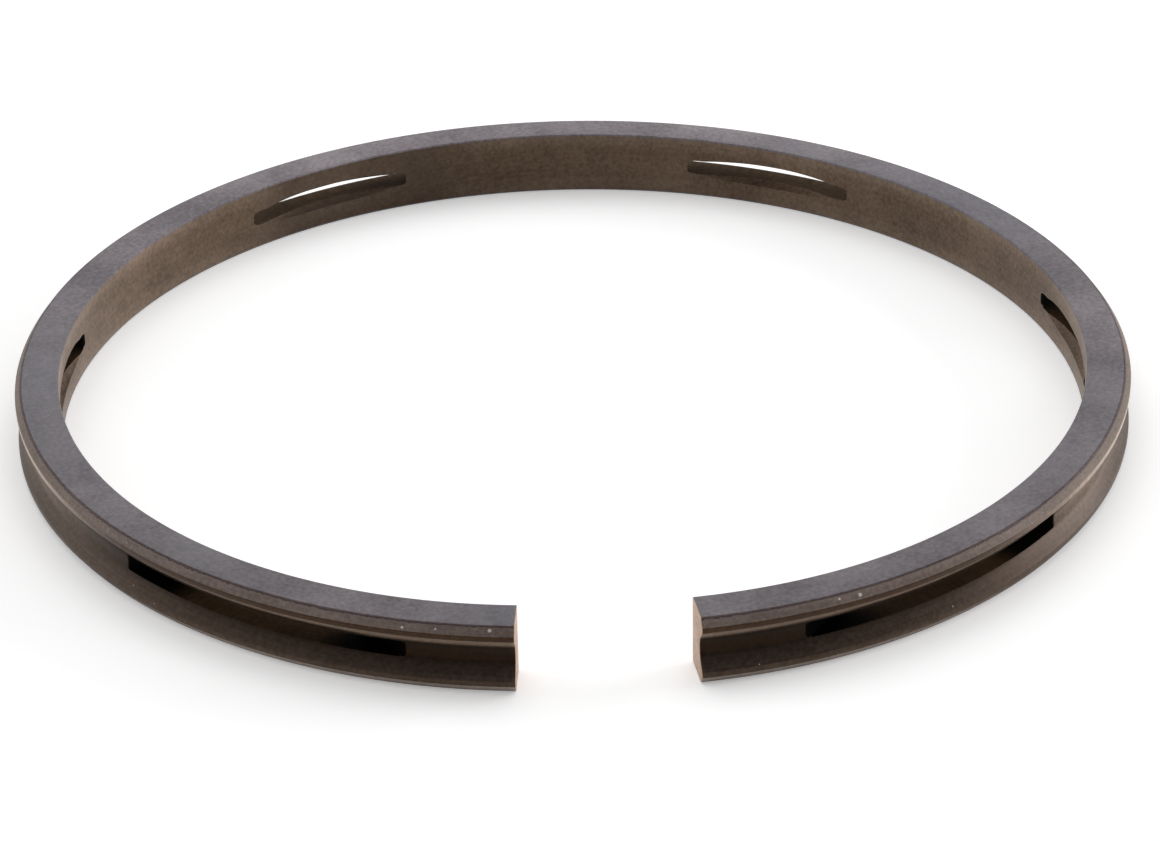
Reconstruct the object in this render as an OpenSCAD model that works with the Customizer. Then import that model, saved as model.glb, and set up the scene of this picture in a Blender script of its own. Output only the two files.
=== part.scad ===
// Slotted oil control piston ring of phosphated cast iron, drawn free, as it springs open out of its bore.
// The ring lies flat: +Z is its axis, the gap faces -Y and the back of the ring is at +Y.
// The origin is the middle of its outline, on the lower side face. All sizes are in millimetres.

/* [Ring] */
// Cylinder bore that the ring runs in, which is its outer diameter when closed
bore = 77; // [60:0.5:100]
// Height of the ring between its two side faces
ring_height = 5; // [4:0.1:8]
// Radial width from the inner wall to the running lands
radial_width = 3.2; // [2.6:0.05:4.5]
// Break on the two edges of the inner wall
inner_break = 0.12; // [0.05:0.01:0.4]

/* [Gap] */
// Gap between the ends of the free ring, at the middle of the radial width
free_gap = 12; // [4:0.1:18]
// Gap that is left between the ends when the ring is closed in its bore
closed_gap = 0.35; // [0.1:0.05:1]

/* [Running face] */
// Height of each of the two lands that wipe the bore
land_height = 0.36; // [0.2:0.02:0.8]
// Height of the bevel between a land and its side face
bevel_height = 0.6; // [0.2:0.05:0.9]
// Radial depth of that bevel
bevel_depth = 0.45; // [0.1:0.05:0.9]
// Depth of the oil groove between the lands
groove_depth = 0.9; // [0.4:0.05:1.4]

/* [Oil slots] */
// Number of slots round the ring
slot_count = 6; // [2:1:8]
// Height of a slot, which is the thickness of the disc cutter that mills it
slot_height = 1.2; // [0.8:0.05:2]
// Groove floor that is left above and below a slot
floor_margin = 0.05; // [0.02:0.01:0.3]
// Diameter of the disc cutter
cutter_diameter = 70; // [40:1:100]
// Rounding of the two corners of the cutter's rim
cutter_corner = 0.3; // [0.1:0.05:0.35]
// How far the cutter passes the inner wall, which sets the length of the slot there
cutter_pass = 1.35; // [0.8:0.05:2]
// Angle from the gap to the middle of the nearest slot, on the closed ring
first_slot_angle = 29; // [25:0.5:45]

/* [Slot mouths] */
// Height by which a mouth is opened above and below its slot, on the inner wall
mouth_rise = 0.35; // [0.1:0.05:0.5]
// Depth of the opened mouth at the middle of its slot
mouth_depth = 0.9; // [0.4:0.05:1.1]
// Radius of the arc, inside the ring, on which a round-nosed cutter opens the mouth
mouth_swing = 14; // [11:0.5:18]

/* [Hidden] */
$fn = 128;

// Each half of the free shape is drawn as this many arcs, which meet without a kink
half_arcs = 6;
// Arcs turn by whole steps of this many degrees, and are placed by whole steps of as many millimetres
grid = 0.001;

// Half the angle of the arc on which a mouth is opened: past it the cutter is clear of the wall
mouth_sweep = 40;

mid_radius = (bore - radial_width) / 2;
mid_height = ring_height / 2;
floor_height = slot_height + 2 * floor_margin;
mouth_height = slot_height + 2 * mouth_rise;
degrees_per_radian = 180 / PI;

// Closed angle from the back of the ring to one end, and from one slot to the next
half_sweep = 180 - closed_gap / (2 * mid_radius) * degrees_per_radian;
arc_step = half_sweep / half_arcs;
slot_pitch = 2 * (180 - first_slot_angle) / (slot_count - 1);

// A ring that presses evenly on its bore loses spring * (1 + cos(angle)) of its curvature when it is let go.
// Summed along the ring, that opens the gap by 3 * PI * mid_radius * spring * (1 + 5 / 6 * spring).
opening = (free_gap - closed_gap) / (3 * PI * mid_radius);
spring = 3 / 5 * (sqrt(1 + 10 / 3 * opening) - 1);

// Direction, counted from the back, that the running face looks in at a closed angle once the ring is free
function free_turn(angle) = angle - spring * (angle + sin(angle) * degrees_per_radian);
function facing(turn) = [sin(turn), cos(turn)];
function on_grid(value) = round(value / grid) * grid;

// The free shape at mid width, as arcs numbered from the back to the end
function arc_turn(i) = on_grid(free_turn(i * arc_step));
function arc_sweep(i) = arc_turn(i + 1) - arc_turn(i);
function arc_radius(i) = mid_radius * arc_step / arc_sweep(i);
function arc_start(i) = i == 0
  ? [0, mid_radius]
  : arc_centre(i - 1) + arc_radius(i - 1) * facing(arc_turn(i));
function arc_centre(i) = arc_start(i) - arc_radius(i) * facing(arc_turn(i));

// Arc that a closed angle lies on, and the direction that the ring looks in there
function arc_at(angle) = min(floor(angle / arc_step), half_arcs - 1);
function turn_on(i, angle) = arc_turn(i) + arc_sweep(i) * (angle / arc_step - i);

// Middle of the outline from front to back: the back lies at bore / 2, and the ends reach furthest forward
end_corner = arc_start(half_arcs) + radial_width / 2 * facing(arc_turn(half_arcs));
outline_middle = (bore / 2 + end_corner[1]) / 2;

// Lower half of the section, from the inner wall round to the groove floor, measured from mid width
half_section = [
  [-radial_width / 2, inner_break],
  [-radial_width / 2 + inner_break, 0],
  [radial_width / 2 - bevel_depth, 0],
  [radial_width / 2, bevel_height],
  [radial_width / 2, bevel_height + land_height],
  [radial_width / 2 - groove_depth, mid_height - floor_height / 2],
];
upper_half = [for (i = [len(half_section) - 1:-1:0]) [half_section[i][0], ring_height - half_section[i][1]]];

module section() {
  polygon(concat(half_section, upper_half));
}

// Moves by whole grid steps and then by the rest, so that neighbouring arcs meet to the last digit
module place(at) {
  whole = [on_grid(at[0]), on_grid(at[1])];
  translate(whole)
    translate(at - whole)
      children();
}

// Stretch of ring with one curvature, between two directions counted from the back
module ring_arc(i, from_turn, to_turn) {
  place(arc_centre(i))
    rotate_extrude(start = 90 - to_turn, angle = to_turn - from_turn)
      place([arc_radius(i), 0])
        section();
}

// The turned and grooved ring before it is slotted
module grooved_ring() {
  ring_arc(0, -arc_turn(1), arc_turn(1));
  for (side = [0, 1])
    mirror([side, 0, 0])
      for (i = [1:half_arcs - 1])
        ring_arc(i, arc_turn(i), arc_turn(i + 1));
}

// Disc cutter with rounded rim corners, centred on the origin
module slot_cutter() {
  cutter_radius = cutter_diameter / 2;
  rim_height = slot_height - 2 * cutter_corner;
  cylinder(r = cutter_radius - cutter_corner, h = slot_height, center = true);
  cylinder(r = cutter_radius, h = rim_height, center = true);
  for (level = [-1, 1])
    translate([0, 0, level * rim_height / 2])
      rotate_extrude()
        translate([cutter_radius - cutter_corner, 0])
          circle(r = cutter_corner);
}

// Path of the round-nosed cutter about the origin, facing +Y and long enough to leave the wall at both ends
module mouth_cutter() {
  rotate_extrude(start = 90 - mouth_sweep, angle = 2 * mouth_sweep)
    translate([mouth_swing, 0])
      circle(d = mouth_height);
}

// Stands a cutter at each slot, at mid height and so far out from mid width, with its +Y outwards
module at_slots(out) {
  for (k = [0:slot_count - 1]) {
    angle = (k - (slot_count - 1) / 2) * slot_pitch;
    i = arc_at(abs(angle));
    turn = turn_on(i, abs(angle));
    centre = arc_centre(i) + (arc_radius(i) + out) * facing(turn);
    mirror([angle < 0 ? 1 : 0, 0, 0])
      translate([centre[0], centre[1], mid_height])
        rotate([0, 0, -turn])
          children();
  }
}

// The slots, milled from outside
module oil_slots() {
  at_slots(cutter_diameter / 2 - radial_width / 2 - cutter_pass)
    slot_cutter();
}

// Their mouths on the inner wall, opened from inside
module slot_mouths() {
  at_slots(mouth_depth - mouth_height / 2 - mouth_swing - radial_width / 2)
    mouth_cutter();
}

module oil_ring() {
  color([0.36, 0.34, 0.34])
    translate([0, -outline_middle, 0])
      difference() {
        grooved_ring();
        oil_slots();
        slot_mouths();
      }
}

oil_ring();
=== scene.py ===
# %% [markdown]
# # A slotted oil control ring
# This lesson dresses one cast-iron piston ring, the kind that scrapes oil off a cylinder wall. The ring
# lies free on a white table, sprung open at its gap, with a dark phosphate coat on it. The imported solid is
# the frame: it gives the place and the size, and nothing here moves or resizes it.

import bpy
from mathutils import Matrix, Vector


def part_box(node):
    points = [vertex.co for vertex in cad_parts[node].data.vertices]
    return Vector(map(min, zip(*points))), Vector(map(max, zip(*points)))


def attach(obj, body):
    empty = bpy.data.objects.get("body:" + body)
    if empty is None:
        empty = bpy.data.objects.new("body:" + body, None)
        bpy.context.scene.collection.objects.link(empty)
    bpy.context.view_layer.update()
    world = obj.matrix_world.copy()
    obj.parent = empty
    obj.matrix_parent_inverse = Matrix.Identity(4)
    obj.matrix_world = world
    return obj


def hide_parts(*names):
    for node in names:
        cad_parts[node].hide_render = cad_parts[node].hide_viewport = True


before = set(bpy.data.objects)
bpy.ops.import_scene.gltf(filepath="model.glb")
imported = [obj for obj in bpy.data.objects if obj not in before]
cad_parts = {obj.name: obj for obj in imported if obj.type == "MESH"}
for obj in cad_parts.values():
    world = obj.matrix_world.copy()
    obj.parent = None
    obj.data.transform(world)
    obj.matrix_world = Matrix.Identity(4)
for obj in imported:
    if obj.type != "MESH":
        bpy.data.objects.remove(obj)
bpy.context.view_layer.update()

# %% [markdown]
# ## Tools and units
# Blender counts in metres, and the sizes of a ring are known in millimetres. So each length is written in
# millimetres, times one unit. The box of the solid says how high the ring is and where it lies.

# %% Tools and units
import math

import bmesh
import bpy
from mathutils import Matrix, Vector

MM = 0.001
box_low, box_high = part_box("oil_ring")
print("ring is", round((box_high.z - box_low.z) / MM, 3), "mm high")

# %% [markdown]
# ## The free shape
# A piston ring isn't a circle with a piece cut out. It is cast and turned a little oval, so that it presses
# evenly on the bore once it is closed, and out of the bore it springs back to that shape. The bore, the
# radial width and the free gap settle the curve: at each closed angle from the back the ring has lost a
# known share of its curvature. Six arcs on each side follow it, and each starts in the direction in which
# the last one ended, so there is no kink. Arcs also suit the spin operator, which sweeps the section later.

# %% Arcs of the free shape
BORE = 77 * MM
RADIAL_WIDTH = 3.2 * MM
FREE_GAP = 12 * MM
CLOSED_GAP = 0.35 * MM
HALF_ARCS = 6

mid_radius = (BORE - RADIAL_WIDTH) / 2
half_sweep = math.pi - CLOSED_GAP / (2 * mid_radius)
arc_step = half_sweep / HALF_ARCS
opening = (FREE_GAP - CLOSED_GAP) / (3 * math.pi * mid_radius)
spring = 3 / 5 * (math.sqrt(1 + 10 / 3 * opening) - 1)


def free_turn(angle):
    """Direction, counted from the back, that the free ring faces at a closed angle."""
    return angle - spring * (angle + math.sin(angle))


def facing(turn):
    return Vector((math.sin(turn), math.cos(turn), 0))


def half_ring_arcs(back):
    """Right half of the free shape, from the back on: centre, radius, first and last turn of each arc."""
    arcs = []
    at = back
    for i in range(HALF_ARCS):
        first = free_turn(i * arc_step)
        last = free_turn((i + 1) * arc_step)
        radius = mid_radius * arc_step / (last - first)
        centre = at - radius * facing(first)
        arcs.append((centre, radius, first, last))
        at = centre + radius * facing(last)
    return arcs


def end_of_arc(arc, depth):
    """Point at the end of an arc that lies so far out from mid width."""
    centre, radius, first, last = arc
    return centre + (radius + depth) * facing(last)


trial = half_ring_arcs(Vector((0, 0, 0)))
back_of_ring = Vector((0, box_low.y - end_of_arc(trial[-1], RADIAL_WIDTH / 2).y, 0))
arcs = half_ring_arcs(back_of_ring)
tip = end_of_arc(arcs[-1], 0)
print("free gap", round(2 * tip.x / MM, 2), "mm, spring", round(spring, 4))

# %% [markdown]
# ## The section
# Cut through, the ring shows two narrow lands that wipe the bore, a bevel behind each land and an oil
# groove between them. It could be modelled as a loft, but a turned section is one outline swept along a
# path. A few corners make the outline, and a vertex bevel rounds each of them by what the tool and the
# tumbling leave: the lands stay crisp, the side faces are broken a little more, and the groove keeps the
# radius of its tool.

# %% Outline of the section
BREAK_INNER = 0.14 * MM
BREAK_SIDE = 0.09 * MM
BREAK_LAND = 0.05 * MM
GROOVE_RADIUS = 0.45 * MM
BEVEL_HEIGHT = 0.6 * MM
BEVEL_DEPTH = 0.45 * MM
LAND_HEIGHT = 0.36 * MM
GROOVE_DEPTH = 0.9 * MM
FLOOR_HEIGHT = 1.3 * MM
CORNER_SEGMENTS = 3

ring_height = box_high.z - box_low.z
mid_height = ring_height / 2
inner = -RADIAL_WIDTH / 2
outer = RADIAL_WIDTH / 2
half_outline = [
    (inner, 0, BREAK_INNER),
    (outer - BEVEL_DEPTH, 0, BREAK_SIDE),
    (outer, BEVEL_HEIGHT, BREAK_LAND),
    (outer, BEVEL_HEIGHT + LAND_HEIGHT, BREAK_LAND),
    (outer - GROOVE_DEPTH, mid_height - FLOOR_HEIGHT / 2, GROOVE_RADIUS),
]
outline = half_outline + [(depth, ring_height - z, rounding) for depth, z, rounding in reversed(half_outline)]


def draw_section(mesh):
    """The section at the back of the ring, standing in the plane x = 0, with its corners rounded."""
    centre, radius, first, last = arcs[0]
    corners = [mesh.verts.new((0, centre.y + radius + depth, z)) for depth, z, rounding in outline]
    mesh.faces.new(corners)
    for corner, (depth, z, rounding) in zip(corners, outline):
        bmesh.ops.bevel(mesh, geom=[corner], offset=rounding, offset_type="OFFSET", segments=CORNER_SEGMENTS,
                        profile=0.5, affect="VERTICES", material=-1)


ring_mesh = bmesh.new()
draw_section(ring_mesh)
print("section has", len(ring_mesh.verts), "points")

# %% [markdown]
# ## The sweep
# Half of the ring is enough: the section is spun about the centre of each arc in turn, from the back to the
# end, and the mirror operator adds the other half and merges the seam at the back. Holes_fill then closes
# the two ends. The face of the section has done its work once its edges are spun, so it is removed: left
# inside, it would be a wall. The edges of the ends are broken here, before any cut: an edge bevel needs
# clean, even faces beside it.

# %% Sweep the section along the arcs
TURN_PER_STEP = math.radians(0.8)
MERGE_WITHIN = 0.001 * MM
BREAK_END = 0.03 * MM
END_SEGMENTS = 2


def sweep_half(mesh):
    """Spins the edges of the section along the right half, arc by arc."""
    for face in list(mesh.faces):
        mesh.faces.remove(face)
    profile = list(mesh.verts) + list(mesh.edges)
    for centre, radius, first, last in arcs:
        made = bmesh.ops.spin(mesh, geom=profile, cent=centre, axis=(0, 0, 1), angle=first - last,
                              steps=round((last - first) / TURN_PER_STEP), use_merge=False)
        profile = made["geom_last"]


def close_ring(mesh):
    """Adds the other half, fills the two ends and breaks their edges."""
    everything = list(mesh.verts) + list(mesh.edges) + list(mesh.faces)
    bmesh.ops.mirror(mesh, geom=everything, matrix=Matrix.Identity(4), merge_dist=MERGE_WITHIN, axis="X")
    ends = [edge for edge in mesh.edges if edge.is_boundary]
    bmesh.ops.holes_fill(mesh, edges=ends, sides=0)
    bmesh.ops.recalc_face_normals(mesh, faces=mesh.faces)
    bmesh.ops.bevel(mesh, geom=ends, offset=BREAK_END, offset_type="OFFSET", segments=END_SEGMENTS,
                    profile=0.5, affect="EDGES", clamp_overlap=False, material=-1)


def describe(title, mesh):
    """Prints what a mesh holds. A closed one that faces outwards has no open edges and a volume above 0."""
    open_edges = sum(not edge.is_manifold for edge in mesh.edges)
    volume = round(mesh.calc_volume(signed=True) / MM ** 3, 1)
    print(title, len(mesh.faces), "faces,", open_edges, "open edges, volume", volume, "cubic mm")


sweep_half(ring_mesh)
close_ring(ring_mesh)
describe("swept ring has", ring_mesh)

# %% [markdown]
# ## The oil slots
# Six slots let the scraped oil through to the piston. They are spaced evenly from one end of the closed
# ring to the other, so the place of each on the free shape is found from its closed angle: which arc it
# lies on, and how far along that arc. Measuring six places by hand would do too, but they would drift from
# the solid.

# %% Places of the slots
SLOT_COUNT = 6
FIRST_SLOT_ANGLE = math.radians(29)

slot_pitch = 2 * (math.pi - FIRST_SLOT_ANGLE) / (SLOT_COUNT - 1)
slot_angles = [(k - (SLOT_COUNT - 1) / 2) * slot_pitch for k in range(SLOT_COUNT)]


def slot_station(angle, out):
    """Point at mid height, so far out from mid width, and the direction of the slot at a closed angle."""
    i = min(int(abs(angle) / arc_step), HALF_ARCS - 1)
    centre, radius, first, last = arcs[i]
    turn = first + (last - first) * (abs(angle) / arc_step - i)
    at = centre + (radius + out) * facing(turn)
    return Vector((math.copysign(at.x, angle), at.y, mid_height)), math.copysign(turn, angle)


print("slots at", [round(math.degrees(angle), 1) for angle in slot_angles], "degrees from the back")

# %% [markdown]
# ## The disc cutters
# On the real ring a disc cutter is sunk in from outside, so a slot is longer in the groove than on the
# inner wall. A box would be simpler to cut with, but its slots would have square ends. The same tool is
# drawn here instead: a disc whose rims are bevelled round, set at each slot.

# %% Disc cutters
SLOT_HEIGHT = 1.2 * MM
CUTTER_RADIUS = 35 * MM
CUTTER_CORNER = 0.3 * MM
CUTTER_PASS = 1.35 * MM
CUTTER_STEPS = 360
RIM_SEGMENTS = 4


def add_disc(mesh, angle):
    """A disc whose two rims are rounded, sunk in from outside at one slot."""
    at = slot_station(angle, CUTTER_RADIUS - RADIAL_WIDTH / 2 - CUTTER_PASS)[0]
    made = bmesh.ops.create_cone(mesh, cap_ends=True, segments=CUTTER_STEPS, radius1=CUTTER_RADIUS,
                                 radius2=CUTTER_RADIUS, depth=SLOT_HEIGHT, matrix=Matrix.Translation(at))
    rims = {edge for vert in made["verts"] for edge in vert.link_edges
            if edge.verts[0].co.z == edge.verts[1].co.z}
    bmesh.ops.bevel(mesh, geom=list(rims), offset=CUTTER_CORNER, offset_type="OFFSET", segments=RIM_SEGMENTS,
                    profile=0.5, affect="EDGES", material=-1)


disc_mesh = bmesh.new()
for slot_angle in slot_angles:
    add_disc(disc_mesh, slot_angle)
describe("disc cutters have", disc_mesh)

# %% [markdown]
# ## The slot mouths
# On the inner wall each slot opens wider, so that its edge doesn't hold back the oil: a round-nosed cutter
# takes off the wall above and below it. A chamfer along the edge would stop short at the tips. Swung on an
# arc that is tighter than the wall, the cutter runs out by itself before it reaches them, so its path is a
# circle spun through that arc.

# %% Round-nosed cutters
MOUTH_RISE = 0.35 * MM
MOUTH_DEPTH = 0.9 * MM
MOUTH_SWING = 14 * MM
MOUTH_SWEEP = math.radians(40)
NOSE_SIDES = 48
SWING_STEPS = 96

nose_radius = SLOT_HEIGHT / 2 + MOUTH_RISE


def add_nose_path(mesh, angle):
    """Path of the round nose at one slot, about a point inside the ring."""
    pivot, turn = slot_station(angle, MOUTH_DEPTH - nose_radius - MOUTH_SWING - RADIAL_WIDTH / 2)
    first = turn - MOUTH_SWEEP
    upright = Matrix.Rotation(-first, 4, "Z") @ Matrix.Rotation(math.pi / 2, 4, "Y")
    made = bmesh.ops.create_circle(mesh, cap_ends=False, segments=NOSE_SIDES, radius=nose_radius,
                                   matrix=Matrix.Translation(pivot + MOUTH_SWING * facing(first)) @ upright)
    nose = made["verts"] + list({edge for vert in made["verts"] for edge in vert.link_edges})
    bmesh.ops.spin(mesh, geom=nose, cent=pivot, axis=(0, 0, 1), angle=-2 * MOUTH_SWEEP, steps=SWING_STEPS,
                   use_merge=False)


nose_mesh = bmesh.new()
for slot_angle in slot_angles:
    add_nose_path(nose_mesh, slot_angle)
bmesh.ops.holes_fill(nose_mesh, edges=[edge for edge in nose_mesh.edges if edge.is_boundary], sides=0)
bmesh.ops.recalc_face_normals(nose_mesh, faces=nose_mesh.faces)
describe("nose cutters have", nose_mesh)

# %% [markdown]
# ## The cuts
# A Boolean takes the cutters away from the swept ring. The exact solver is slower than the fast one, but it
# keeps the long shallow run-outs clean. Each cut is applied at once, so the finished piece carries no live
# modifier. The edges of the slots stay crisp, as the cutter leaves them under the coat.

# %% Cut the slots and their mouths
def link_piece(name, mesh):
    """Turns a bmesh into an object at the origin and frees the bmesh."""
    data = bpy.data.meshes.new(name)
    mesh.to_mesh(data)
    mesh.free()
    piece = bpy.data.objects.new(name, data)
    bpy.context.scene.collection.objects.link(piece)
    return piece


def cut_away(piece, name, mesh):
    """Takes a closed mesh away from a piece for good."""
    cutters = link_piece(name, mesh)
    cut = piece.modifiers.new(name, "BOOLEAN")
    cut.object = cutters
    cut.operation = "DIFFERENCE"
    cut.solver = "EXACT"
    bpy.context.view_layer.update()
    left = bpy.data.meshes.new_from_object(piece.evaluated_get(bpy.context.evaluated_depsgraph_get()))
    piece.modifiers.clear()
    piece.data = left
    bpy.data.objects.remove(cutters)
    return left


def report_mesh(title, data):
    """Describes the mesh of an object."""
    mesh = bmesh.new()
    mesh.from_mesh(data)
    describe(title, mesh)
    mesh.free()


ring = link_piece("slotted_ring", ring_mesh)
report_mesh("slotted ring has", cut_away(ring, "disc_cutters", disc_mesh))
report_mesh("with mouths it has", cut_away(ring, "nose_cutters", nose_mesh))

# %% [markdown]
# ## Shading
# The sweep is made of flat faces. Smooth shading hides where they meet, but alone it would also round off
# the lands and the slots to the eye. So edges that turn by more than a set angle are marked sharp in the
# mesh itself, which needs no live modifier.

# %% Smooth shading between sharp edges
SHARP_SHADING = math.radians(28)

for polygon in ring.data.polygons:
    polygon.use_smooth = True
ring.data.set_sharp_from_angle(angle=SHARP_SHADING)
print("shaded", len(ring.data.polygons), "faces")

# %% [markdown]
# ## Where a point lies on the ring
# Machining marks run round the ring, so the finishes need coordinates that run round it too. Each vertex
# gets a vector: how far it lies along the ring from the back, how far out from mid width, and how high. It
# is worked out backwards from the place of the vertex, because the Boolean made vertices that the sweep
# didn't.

# %% Flow attribute
def ring_flow(point):
    """Distance along the ring from the back, distance out from mid width, and height."""
    right = Vector((abs(point.x), point.y, 0))
    for i, (centre, radius, first, last) in enumerate(arcs):
        out = right - centre
        turn = math.atan2(out.x, out.y) % (2 * math.pi)
        if turn <= last or i == HALF_ARCS - 1:
            break
    along = mid_radius * arc_step * (i + (turn - first) / (last - first))
    return math.copysign(along, point.x), out.length - radius, point.z


places = [ring_flow(vertex.co) for vertex in ring.data.vertices]
flow_attribute = ring.data.attributes.new("ring_flow", "FLOAT_VECTOR", "POINT")
flow_attribute.data.foreach_set("vector", [value for place in places for value in place])
print("ring runs from", round(min(place[0] for place in places) / MM, 2), "to",
      round(max(place[0] for place in places) / MM, 2), "mm along its middle")

# %% [markdown]
# ## Colours and nodes
# Three helpers serve every finish. Colours are written as the eye knows them, in sRGB, and one function
# makes them linear. A second adds a node and links it, so that a finish reads as a short list of steps. The
# third turns a real size in millimetres into the scale of a pattern.

# %% Helpers for the finishes
def linear(code):
    """Linear colour from an sRGB hex value."""
    parts = [int(code[i:i + 2], 16) / 255 for i in (1, 3, 5)]
    return [c / 12.92 if c <= 0.04045 else ((c + 0.055) / 1.055) ** 2.4 for c in parts] + [1]


def add(tree, kind, inputs=None, **settings):
    """Adds a node with its settings; an input takes a value or another node's output."""
    node = tree.nodes.new(kind)
    for name, value in settings.items():
        setattr(node, name, value)
    for name, value in (inputs or {}).items():
        if isinstance(value, bpy.types.NodeSocket):
            tree.links.new(value, node.inputs[name])
        else:
            node.inputs[name].default_value = value
    return node


def per(size):
    """Pattern scale for features of this size in millimetres."""
    return 1 / (size * MM)


def new_tree(name):
    """A new material and its empty node tree."""
    material = bpy.data.materials.new(name)
    material.use_nodes = True
    material.node_tree.nodes.clear()
    return material, material.node_tree


print("white is", linear("#ffffff")[:3], "and a pattern of 1 mm has a scale of", round(per(1)))

# %% [markdown]
# ## Phosphated cast iron
# The ring is cast iron under a manganese phosphate coat: dark, matt crystals that hold oil, so the eye sees
# a deep violet-grey that goes brown where oil has dried in. Under the coat the marks of the tools still
# show. One function makes the whole family. Three patterns mix two tones: clouds of coating, crystals, and
# tool streaks that follow the ring. The crystals are really a few hundredths of a millimetre wide, too fine
# to show, so they are drawn about ten times as coarse.

# %% Patterns
CLOUDS = {"Scale": per(7), "Detail": 5, "Roughness": 0.62}
CRYSTALS = {"Scale": per(0.3), "Detail": 3}
STREAKS = {"Scale": 1, "Detail": 3, "Roughness": 0.7}
# Length, depth and height of a streak, in millimetres
STREAKS_ROUND = (18, 0.15, 0.15)
CRYSTAL_SHARE = 0.4
LEVEL_RANGE = (0.36, 0.64)


def pattern_level(tree, flow, streaks, streak_share):
    """Level from 0 to 1 that mixes clouds, crystals and streaks of a given size, and height of the relief."""
    clouds = add(tree, "ShaderNodeTexNoise", {"Vector": flow, **CLOUDS})
    crystals = add(tree, "ShaderNodeTexNoise", {"Vector": flow, **CRYSTALS})
    stretch = [per(size) for size in streaks]
    drawn = add(tree, "ShaderNodeVectorMath", {0: flow, 1: stretch}, operation="MULTIPLY")
    turned = add(tree, "ShaderNodeTexNoise", {"Vector": drawn.outputs[0], **STREAKS})
    level = add(tree, "ShaderNodeMix", {0: streak_share, 2: clouds.outputs[0], 3: turned.outputs[0]})
    level = add(tree, "ShaderNodeMix", {0: CRYSTAL_SHARE, 2: level.outputs[0], 3: crystals.outputs[0]})
    spread = add(tree, "ShaderNodeMapRange", {"Value": level.outputs[0], "From Min": LEVEL_RANGE[0],
                                              "From Max": LEVEL_RANGE[1]})
    height = add(tree, "ShaderNodeMix", {0: streak_share, 2: crystals.outputs[0], 3: turned.outputs[0]})
    return spread.outputs[0], height.outputs[0]


print("streaks are", STREAKS_ROUND[0], "mm long and", STREAKS_ROUND[1], "mm wide")

# %% [markdown]
# ## Where light and shade are painted on the ring
# Light and shade are painted into the tones, and not evenly. Near the gap the coat is painted darker or
# paler, as painted shade and painted light on the front of the ring, and the blind ends of the slots are
# painted black as shade. The groove is painted lighter under its land as light from the table, the inner wall
# has paler rims and a patch of painted shadow at the back, and a painted shade runs raggedly along the edges.
# Painting these by hand would need an image. Each is a share from 0 to 1 instead, read from the flow
# coordinates.

# %% Shares along and across the ring
# Each span holds the two values at which a share is 0 and 1
PAINTED_SHADING_SPAN = (74 * MM, 92 * MM)
# The painted shading and the dust reach a little further round on the left of the gap, so their distances
# start right of the back
SHADING_AND_DUST_SHIFT = 4 * MM
# Heights over which the inner wall is painted paler towards its rims, partly as painted light against the
# table's shade
RIM_SPAN = (0.9 * MM, mid_height)
# Heights over which the groove's painted light and shade change: its low part and the band under its land
LOW_SPAN = (2.3 * MM, 1.1 * MM)
HIGH_SPAN = (3.1 * MM, 3.5 * MM)
SLOT_SHADE = 0.1 * MM
half_length = mid_radius * half_sweep
slot_spacing = mid_radius * slot_pitch / 2
SLOT_SPAN = (slot_spacing - 9 * MM, slot_spacing - 7 * MM)
# Where the blind ends of a slot are painted black, as painted shade
SLOT_END_SPAN = (slot_spacing - 4.5 * MM, slot_spacing - 7.5 * MM)
# Painted shade along the edges: where its dark line starts, and how far the pattern makes it ragged
EDGE_SPAN = (mid_height - 0.02 * MM, mid_height + 0.02 * MM)
EDGE_RAGGEDNESS = 0.2 * MM


def share_of(tree, value, span):
    """Share that grows smoothly while a value goes through a span."""
    share = add(tree, "ShaderNodeMapRange", {"Value": value, "From Min": span[0], "From Max": span[1]},
                interpolation_type="SMOOTHSTEP")
    return share.outputs[0]


def distance_from(tree, value, place):
    offset = add(tree, "ShaderNodeMath", {0: value, 1: place}, operation="SUBTRACT")
    return add(tree, "ShaderNodeMath", {0: offset.outputs[0]}, operation="ABSOLUTE").outputs[0]


def along_ring(tree, flow, middle, span):
    """Share by the distance along the ring from a middle, which is itself counted from the back."""
    return share_of(tree, distance_from(tree, flow.outputs["X"], middle), span)


def near_rims(tree, flow):
    return share_of(tree, distance_from(tree, flow.outputs["Z"], mid_height), RIM_SPAN)


def near_edges(tree, flow, level):
    """The level of the pattern shifts where the painted dark edge line starts, so that it looks ragged."""
    distance = distance_from(tree, flow.outputs["Z"], mid_height)
    crumbled = add(tree, "ShaderNodeMath", {0: level, 1: EDGE_RAGGEDNESS, 2: distance}, operation="MULTIPLY_ADD")
    return share_of(tree, crumbled.outputs[0], EDGE_SPAN)


def near_slots(tree, flow, span):
    """Ping-pong folds the length of the ring so that every slot has its middle at the full spacing."""
    folded = add(tree, "ShaderNodeMath", {0: flow.outputs["X"], 1: slot_spacing}, operation="PINGPONG")
    return share_of(tree, folded.outputs[0], span)


def under_land(tree, flow):
    """Upper part of the groove's wall, painted lighter as painted light; the band is narrower above a slot.
    """
    drained = near_slots(tree, flow, SLOT_SPAN)
    height = add(tree, "ShaderNodeMath", {0: drained, 1: -SLOT_SHADE, 2: flow.outputs["Z"]},
                 operation="MULTIPLY_ADD")
    return share_of(tree, height.outputs[0], HIGH_SPAN)


# Where the painted shading near the gap starts
print("painted shading starts", round((half_length - PAINTED_SHADING_SPAN[0]) / MM, 1), "mm from the ends")
print("slots repeat every", round(2 * slot_spacing / MM, 1), "mm")

# %% [markdown]
# ## Dust
# A few specks of pale dust lie near the gap. They could be scattered as tiny pieces, but a tenth of a
# millimetre across they show no shape. So a pattern of cells picks some of its cells and draws a dot of its
# own size in each.

# %% Dust
# Width of a cell in millimetres, and radius of the largest speck as a share of it
DUST_CELL = 0.8
DUST_RADIUS = 0.24
DUST_SPAN = (82 * MM, 100 * MM)
DUST_COLOUR = "#cfc8c2"


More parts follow.
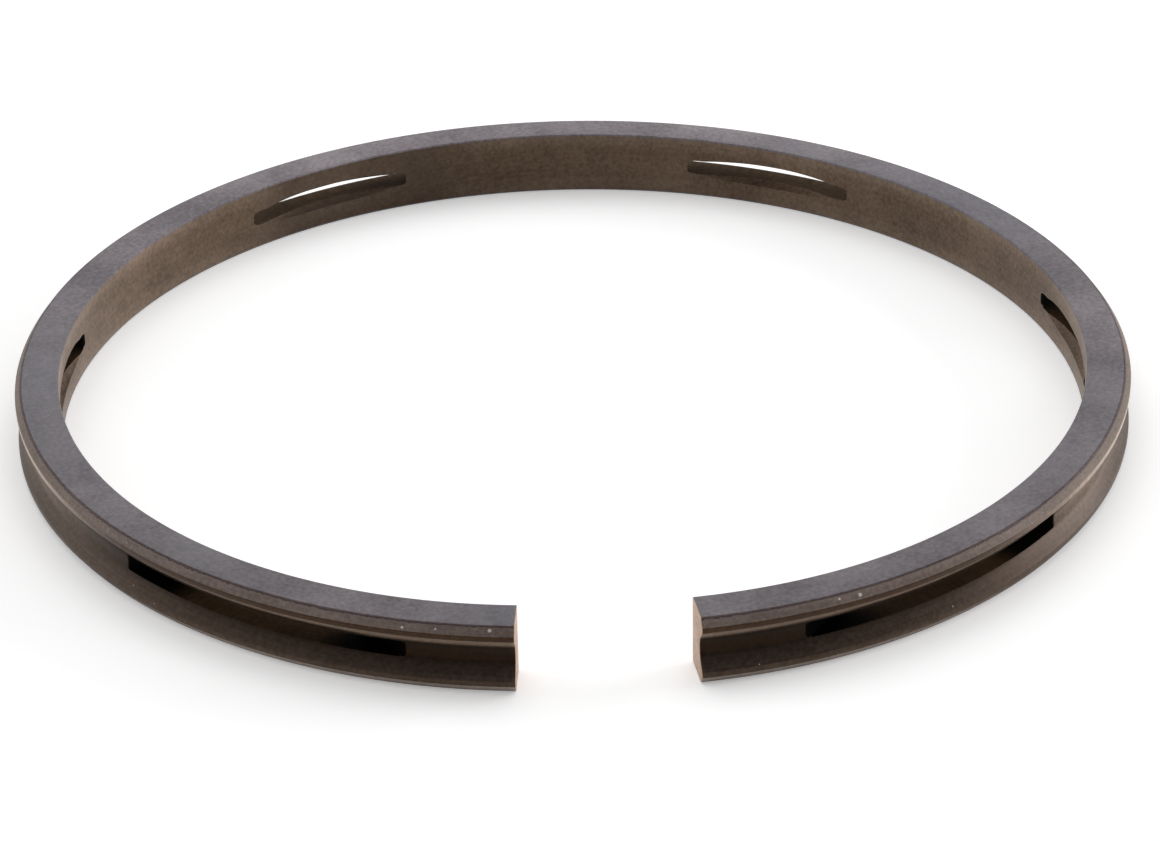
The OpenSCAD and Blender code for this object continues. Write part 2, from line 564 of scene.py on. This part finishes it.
def dust_specks(tree, vector, flow, share):
    """Mask of pale specks of mixed sizes, on this share of the cells near the gap."""
    cells = add(tree, "ShaderNodeTexVoronoi", {"Vector": vector, "Scale": per(DUST_CELL)})
    pick = add(tree, "ShaderNodeSeparateColor", {0: cells.outputs["Color"]})
    small = add(tree, "ShaderNodeMath", {0: pick.outputs[1], 1: pick.outputs[2]}, operation="MULTIPLY")
    radius = add(tree, "ShaderNodeMath", {0: small.outputs[0], 1: DUST_RADIUS}, operation="MULTIPLY")
    inside = add(tree, "ShaderNodeMath", {0: cells.outputs["Distance"], 1: radius.outputs[0]},
                 operation="LESS_THAN")
    few = add(tree, "ShaderNodeMath", {0: pick.outputs[0], 1: share}, operation="LESS_THAN")
    speck = add(tree, "ShaderNodeMath", {0: inside.outputs[0], 1: few.outputs[0]}, operation="MULTIPLY")
    place = along_ring(tree, flow, SHADING_AND_DUST_SHIFT, DUST_SPAN)
    return add(tree, "ShaderNodeMath", {0: speck.outputs[0], 1: place}, operation="MULTIPLY").outputs[0]


print("the largest specks are", round(2 * DUST_RADIUS * DUST_CELL, 2), "mm across")

# %% [markdown]
# ## One function for every finish
# Nearly all surfaces carry the same coat and differ in their tones. So one function mixes a pair of tones
# by the pattern, and further pairs take over where light and shade are painted on. Ten materials
# written out one by one would repeat the same nodes. The coat is a layer of salt crystals with oil in it,
# so the shader isn't metallic and keeps the default IOR, and a warm specular tint stands for the oil.

# %% The finish function
CRYSTAL_RELIEF = 0.012 * MM
CAST_PATCHES = {"Scale": per(25), "Detail": 2}
CAST_RANGE = (0.42, 0.68)
CAST_SHARE = 0.4


def blend(tree, share, first, second):
    return add(tree, "ShaderNodeMix", {0: share, 6: first, 7: second}, data_type="RGBA").outputs[2]


def two_tones(tree, level, tones):
    return blend(tree, level, linear(tones[0]), linear(tones[1]))


def colour_cast(tree, vector, tone, cast):
    """Wide patches in which the coat leans to another hue."""
    patches = add(tree, "ShaderNodeTexNoise", {"Vector": vector, **CAST_PATCHES})
    share = share_of(tree, patches.outputs[0], CAST_RANGE)
    weak = add(tree, "ShaderNodeMath", {0: share, 1: CAST_SHARE}, operation="MULTIPLY")
    return blend(tree, weak.outputs[0], tone, linear(cast))


def phosphated_iron(name, tones, roughness, specular, tint="#ffffff", streak_share=0.3, streaks=STREAKS_ROUND,
                    painted_shading=None, painted_shading_low=None, painted_shading_high=None, painted_shade_slot_ends=None,
                    shading_middle=SHADING_AND_DUST_SHIFT, shading_span=PAINTED_SHADING_SPAN, rims=None, low=None, high=None,
                    edges=None, cast=None, dust=0):
    """Phosphated cast iron between two tones, with further pairs where light and shade are painted on, and
    dust.
    """
    material, tree = new_tree(name)
    vector = add(tree, "ShaderNodeAttribute", attribute_name="ring_flow").outputs["Vector"]
    flow = add(tree, "ShaderNodeSeparateXYZ", {0: vector})
    level, height = pattern_level(tree, vector, streaks, streak_share)

    def toned(share, tone, pair):
        return blend(tree, share, tone, two_tones(tree, level, pair))

    tone = two_tones(tree, level, tones)
    if rims:
        tone = toned(near_rims(tree, flow), tone, rims)
    if low:
        tone = toned(share_of(tree, flow.outputs["Z"], LOW_SPAN), tone, low)
    if high:
        tone = toned(under_land(tree, flow), tone, high)
    # Painted light and shade: a pair of tones that takes over along the ring from a middle, with its own low,
    # high and slot-end tones
    if painted_shading:
        painted_tone = two_tones(tree, level, painted_shading)
        if painted_shading_low:
            painted_tone = toned(share_of(tree, flow.outputs["Z"], LOW_SPAN), painted_tone, painted_shading_low)
        if painted_shading_high:
            painted_tone = toned(under_land(tree, flow), painted_tone, painted_shading_high)
        if painted_shade_slot_ends:
            painted_tone = toned(near_slots(tree, flow, SLOT_END_SPAN), painted_tone, painted_shade_slot_ends)
        tone = blend(tree, along_ring(tree, flow, shading_middle, shading_span), tone, painted_tone)
    if edges:
        tone = toned(near_edges(tree, flow, level), tone, edges)
    if cast:
        tone = colour_cast(tree, vector, tone, cast)
    if dust:
        tone = blend(tree, dust_specks(tree, vector, flow, dust), tone, linear(DUST_COLOUR))
    bump = add(tree, "ShaderNodeBump", {"Height": height, "Distance": CRYSTAL_RELIEF})
    shader = add(tree, "ShaderNodeBsdfPrincipled", {
        "Base Color": tone, "Roughness": roughness, "Specular IOR Level": specular,
        "Specular Tint": linear(tint), "Normal": bump.outputs[0]})
    add(tree, "ShaderNodeOutputMaterial", {"Surface": shader.outputs[0]})
    return material


finishes = {}
print("relief of the coat", round(CRYSTAL_RELIEF / MM, 3), "mm")

# %% [markdown]
# ## Outside: side faces, edges and bevels
# The side faces are ground flat and then coated, so they look even, matt and violet-grey. They are painted
# a little darker to the gap and paler at the back, as painted reflection of the bright room behind the ring.
# Their edges carry painted shade: a dark, uneven line with specks of dust in it. The bevels behind the lands
# are turned and browner; the upper one is painted a little paler near the gap, as painted light. The lower
# one is painted pale near the gap, as painted light from the white table under it.

# %% Side faces, edges and bevels
# Span along the ring over which the side faces are painted darker towards the gap, as painted reflection
SIDE_PAINTED_SHADING_SPAN = (10 * MM, 95 * MM)
# Where the lower bevel is painted pale, as painted light from the table
LOWER_BEVEL_LIGHT_SPAN = (80 * MM, 104 * MM)
# Tones of the painted shade along the edges
EDGE_SHADE_TONES = ("#231b1e", "#5c5052")

# Ground flat, then coated: even, matt and violet-grey, painted darker to the gap as painted reflection
finishes["side"] = phosphated_iron(
    "ground_phosphated_side_face", ("#60585d", "#938a8f"), roughness=0.55, specular=0.45, streak_share=0.1,
    painted_shading=("#4c454a", "#7b7478"), shading_span=SIDE_PAINTED_SHADING_SPAN, cast="#666770", dust=0.12)
# Painted shade along the edges, where the rounded edge faces the dim room: a dark, uneven line
finishes["edge"] = phosphated_iron(
    "ragged_painted_edge_shade", EDGE_SHADE_TONES, roughness=0.5, specular=0.4, tint="#e8c8c0", streak_share=0.2, dust=0.9)
# Turned, then coated: brown and matt, painted a little paler near the gap as painted light, with painted edge
# shade along its upper edge
finishes["upper_bevel"] = phosphated_iron(
    "turned_phosphated_bevel", ("#5e524a", "#84766c"), roughness=0.55, specular=0.3, tint="#e0c8b8",
    streak_share=0.4, painted_shading=("#645852", "#8f8079"), edges=EDGE_SHADE_TONES, dust=0.8)
# Turned: dull brown, painted pale towards the gap as painted light from the white table below
finishes["lower_bevel"] = phosphated_iron(
    "lower_bevel_painted_light", ("#4a3f38", "#695c53"), roughness=0.7, specular=0.1, tint="#e0c8b8",
    streak_share=0.4, painted_shading=("#9d8f87", "#c8b9b0"), shading_span=LOWER_BEVEL_LIGHT_SPAN)
# Where the painted light on the lower bevel starts
print("the painted light starts", round((half_length - LOWER_BEVEL_LIGHT_SPAN[0]) / MM, 1), "mm from the ends")

# %% [markdown]
# ## Running face: lands, groove and slots
# The lands are lapped on the bore, so they are the smoothest part. The upper land is painted pale round the
# ring as a painted sheen, and dark near the gap as painted shade; the lower land is painted a duller brown as
# painted shade. The groove is painted light brown under its land as painted light from the table, and nearly
# black on its floor near the gap as painted shade. The slots are painted darker near the gap, and their blind
# ends black, as painted shade.

# %% Lands, groove and slots
# Slots this far along the ring are painted darker, as painted shade
SLOT_PAINTED_SHADING_SPAN = (30 * MM, 42 * MM)
GROOVE_STREAKS = (40, 0.4, 0.4)

# Lapped smooth: painted pale as a painted sheen, and dark near the gap as painted shade
finishes["upper_land"] = phosphated_iron(
    "lapped_upper_land_painted_sheen_and_shade", ("#978474", "#d2bbaa"), roughness=0.3, specular=0.5, tint="#c89878",
    streak_share=0.6, painted_shading=("#2a1e16", "#483829"))
# Lapped too: a duller brown, as painted shade
finishes["lower_land"] = phosphated_iron(
    "lapped_lower_land_painted_shade", ("#463a32", "#64564c"), roughness=0.4, specular=0.3, tint="#c89878",
    streak_share=0.6, painted_shading=("#473b32", "#6b5d51"))
# Turned and streaked: painted light brown under the land as light from the table, graded low down, and nearly
# black on the floor near the gap as painted shade
finishes["groove"] = phosphated_iron(
    "turned_groove_painted_light_and_shade", ("#5a4a3c", "#937e6c"), roughness=0.38, specular=0.3, tint="#c89878",
    streak_share=0.7, streaks=GROOVE_STREAKS, low=("#3a3029", "#64564b"), high=("#7c6857", "#ad9683"),
    painted_shading=("#140e08", "#2a2017"), painted_shading_low=("#3a302a", "#5e524a"), painted_shading_high=("#7a6555", "#ab9786"),
    dust=0.12)
# Milled: matt brown, painted darker near the gap and black in the blind ends, as painted shade
finishes["slot"] = phosphated_iron(
    "milled_slot", ("#4a3c30", "#6f5e4e"), roughness=0.7, specular=0.02, painted_shading=("#2b1e12", "#4a3725"),
    painted_shade_slot_ends=("#030201", "#0a0705"), shading_span=SLOT_PAINTED_SHADING_SPAN)
print("slots are darkest from", SLOT_PAINTED_SHADING_SPAN[1] / MM, "mm along the ring")

# %% [markdown]
# ## Inner wall and ends
# The inner wall is bored and was never in touch with anything, so oil has dried on it in brown clouds. Its
# rims are painted paler, partly as painted light that lifts the table's shade at the lower rim, and one patch
# round a slot at the back is painted darker, as painted shadow. The ends were ground across when the gap was
# set, after coating, so bare warm metal with upright scratches shows there. It is ground too coarsely to
# mirror anything, so the same function serves it with lighter tones.

# %% Inner wall and ends
SCRATCHES_UPRIGHT = (1, 0.12, 3)
# A patch round a slot at the back is painted darker, as painted shadow
BACK_PAINTED_SHADING_MIDDLE = -16.5 * MM
BACK_PAINTED_SHADING_SPAN = (12.5 * MM, 6 * MM)

# Bored, with dried oil on it: brown clouds, paler rims that are partly painted light, and a painted shadow
# round a slot at the back
finishes["bore"] = phosphated_iron(
    "bored_inner_wall_oil_and_painted_shade", ("#524337", "#84705f"), roughness=0.45, specular=0.35, tint="#d0a888",
    streak_share=0.25, rims=("#715f51", "#9a8776"), painted_shading=("#4c4036", "#6c5d51"),
    shading_middle=BACK_PAINTED_SHADING_MIDDLE, shading_span=BACK_PAINTED_SHADING_SPAN)
# Ground bare: light, warm and scratched
finishes["end"] = phosphated_iron(
    "ground_end_face", ("#a07c63", "#dcba9f"), roughness=0.45, specular=0.4, streak_share=0.5,
    streaks=SCRATCHES_UPRIGHT)
print("finishes", list(finishes))

# %% [markdown]
# ## Which surface is which
# The Boolean keeps no names of surfaces, so each face is sorted by where its middle lies: at an end, on a
# side face, on the inner wall, a bevel, a land, in a slot or in the groove. The flow coordinates make these
# plain comparisons.

# %% Give each surface its finish
# How near to a surface the middle of a face has to lie
END_WITHIN = 0.02 * MM
FLAT_WITHIN = 0.001 * MM
WALL_WITHIN = 0.05 * MM
EDGE_BAND = 0.07 * MM
LAND_WITHIN = 0.03 * MM
SLOT_WITHIN = 0.02 * MM
SLOT_BELOW = 0.015 * MM

names = list(finishes)
ring.data.materials.clear()
for finish in finishes.values():
    ring.data.materials.append(finish)


def finish_of(polygon):
    """Which of the surfaces a face belongs to, from where its middle lies on the ring."""
    spots = [places[i] for i in polygon.vertices]
    along = sum(abs(spot[0]) for spot in spots) / len(spots)
    out = sum(spot[1] for spot in spots) / len(spots)
    height = sum(spot[2] for spot in spots) / len(spots)
    from_middle = abs(height - mid_height)
    level = "upper" if height > mid_height else "lower"
    if along > half_length - END_WITHIN:
        return "end"
    if from_middle > mid_height - FLAT_WITHIN:
        return "side"
    if out < inner + BREAK_INNER and from_middle > mid_height - BREAK_INNER:
        return "side" if out > inner else "bore"
    if out < inner + WALL_WITHIN:
        return "bore"
    if from_middle > mid_height - BEVEL_HEIGHT and out > 0:
        return "edge" if from_middle > mid_height - EDGE_BAND else level + "_bevel"
    if out > outer - LAND_WITHIN:
        return level + "_land"
    if out < 0:
        return "slot" if from_middle < SLOT_HEIGHT / 2 + SLOT_WITHIN else "bore"
    if out < outer - GROOVE_DEPTH + max(0, from_middle - FLOOR_HEIGHT / 2) - SLOT_BELOW:
        return "slot"
    return "groove"


counts = dict.fromkeys(names, 0)
for polygon in ring.data.polygons:
    finish = finish_of(polygon)
    polygon.material_index = names.index(finish)
    counts[finish] += 1
print("faces by finish", counts)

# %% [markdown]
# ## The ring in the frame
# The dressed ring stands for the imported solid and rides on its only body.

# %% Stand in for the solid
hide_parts("oil_ring")
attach(ring, "root")
print(ring.name, "stands for oil_ring")

# %% [markdown]
# ## The table
# A white table is only as bright as its light, so an even white needs a lift. More lamps would bleach the
# ring. The lift is a glow that only the eye and its mirror images see: camera, glossy and transmission
# rays. Diffuse light doesn't see it, so the table still carries the ring's soft shadow. It lies a hair
# below the ring, because two faces in one plane would flicker.

# %% Table
TABLE_HALF = 3.0
TABLE_DROP = 0.02 * MM
TABLE_COLOUR = "#f4f4f4"
TABLE_LIFT = "#9a9a9a"


def larger(tree, first, second):
    return add(tree, "ShaderNodeMath", {0: first, 1: second}, operation="MAXIMUM").outputs[0]


def eye_and_mirrors(tree):
    """Two masks: rays from the camera, and rays in reflections or through glass."""
    rays = add(tree, "ShaderNodeLightPath").outputs
    return rays["Is Camera Ray"], larger(tree, rays["Is Glossy Ray"], rays["Is Transmission Ray"])


table_mesh = bmesh.new()
bmesh.ops.create_grid(table_mesh, x_segments=1, y_segments=1, size=TABLE_HALF,
                      matrix=Matrix.Translation((0, 0, box_low.z - TABLE_DROP)))
table = link_piece("table_top", table_mesh)
# Painted matt: white without gloss, so the ring has a shadow on it and no mirror image
paint, tree = new_tree("matt_white_table")
matt = add(tree, "ShaderNodeBsdfDiffuse", {"Color": linear(TABLE_COLOUR)})
seen = larger(tree, *eye_and_mirrors(tree))
lift = add(tree, "ShaderNodeEmission", {"Strength": seen, "Color": linear(TABLE_LIFT)})
both = add(tree, "ShaderNodeAddShader", {0: matt.outputs[0], 1: lift.outputs[0]})
add(tree, "ShaderNodeOutputMaterial", {"Surface": both.outputs[0]})
table.data.materials.append(paint)
print("table is", 2 * TABLE_HALF, "m wide")

# %% [markdown]
# ## The light
# The ring was lit as small parts often are: a large soft light above and behind, and a softbox on each
# side. So the top is even and the flanks catch the softboxes, the right one more. Square area lights give
# soft edges without any lamp showing as a spot in the coat. The Standard view keeps the colours as they
# were chosen.

# %% Softboxes
OVERHEAD = {"at": (0, 0.3, 0.8), "size": 0.7, "power": 1.5}
RIGHT_SIDE = {"at": (0.55, 0.12, 0.14), "size": 0.3, "power": 1.6}
LEFT_SIDE = {"at": (-0.55, 0.16, 0.22), "size": 0.3, "power": 0.42}

scene = bpy.context.scene
scene.view_settings.view_transform = "Standard"


def softbox(name, at, size, power):
    """A square area light that looks at the middle of the ring."""
    data = bpy.data.lights.new(name, "AREA")
    data.size = size
    data.energy = power
    lamp = bpy.data.objects.new(name, data)
    lamp.matrix_world = Matrix.Translation(at) @ (-Vector(at)).to_track_quat("-Z", "Y").to_matrix().to_4x4()
    scene.collection.objects.link(lamp)


softbox("overhead", **OVERHEAD)
softbox("right_side", **RIGHT_SIDE)
softbox("left_side", **LEFT_SIDE)
print("lamps", [lamp.name for lamp in bpy.data.lights])

# %% [markdown]
# ## The room
# The room is dim behind the camera and bright behind the ring, so the front of the ring stays dark. The
# world shader does this by direction. The eye sees plain white everywhere, and so do reflections of what is
# behind the ring.

# %% Room
ROOM_DIM = 0.06
ROOM_SPAN = (-0.9, 0.3)

world = bpy.data.worlds.new("studio")
scene.world = world
world.use_nodes = True
sky = world.node_tree
sky.nodes.clear()
direction = add(sky, "ShaderNodeSeparateXYZ", {0: add(sky, "ShaderNodeTexCoord").outputs["Generated"]})
room = add(sky, "ShaderNodeMapRange", {"Value": direction.outputs["Y"], "From Min": ROOM_SPAN[0],
                                       "From Max": ROOM_SPAN[1], "To Min": ROOM_DIM, "To Max": 1.0},
           interpolation_type="SMOOTHSTEP")
eye, mirrors = eye_and_mirrors(sky)
behind = add(sky, "ShaderNodeMath", {0: direction.outputs["Y"], 1: 0.0}, operation="GREATER_THAN")
backdrop = add(sky, "ShaderNodeMath", {0: mirrors, 1: behind.outputs[0]}, operation="MULTIPLY")
white = larger(sky, backdrop.outputs[0], eye)
glow = add(sky, "ShaderNodeBackground", {"Strength": larger(sky, room.outputs[0], white)})
add(sky, "ShaderNodeOutputWorld", {"Surface": glow.outputs[0]})
print("room goes from", ROOM_DIM, "behind the camera to 1 behind the ring")

# %% [markdown]
# ## The camera
# The camera stands where the picture was taken from: a little left of the gap, looking down by nearly 29
# degrees through a long lens. Place, turn, tilt and roll came from fitting the ring's own edges.

# %% Camera
CAMERA_AT = Vector((-13.238, -261.439, 142.894)) * MM
CAMERA_TURN = math.radians(3.008)
CAMERA_TILT = math.radians(28.888)
CAMERA_ROLL = math.radians(1.070)
LENS = 124.825
SENSOR_WIDTH = 36

camera_data = bpy.data.cameras.new("camera")
camera_data.lens = LENS
camera_data.sensor_width = SENSOR_WIDTH
camera = bpy.data.objects.new("camera", camera_data)
camera.matrix_world = (Matrix.Translation(CAMERA_AT) @ Matrix.Rotation(-CAMERA_TURN, 4, "Z")
                       @ Matrix.Rotation(math.pi / 2 - CAMERA_TILT, 4, "X")
                       @ Matrix.Rotation(-CAMERA_ROLL, 4, "Z"))
scene.collection.objects.link(camera)
scene.camera = camera
print("camera is", round(CAMERA_AT.length / MM), "mm from the middle of the ring")
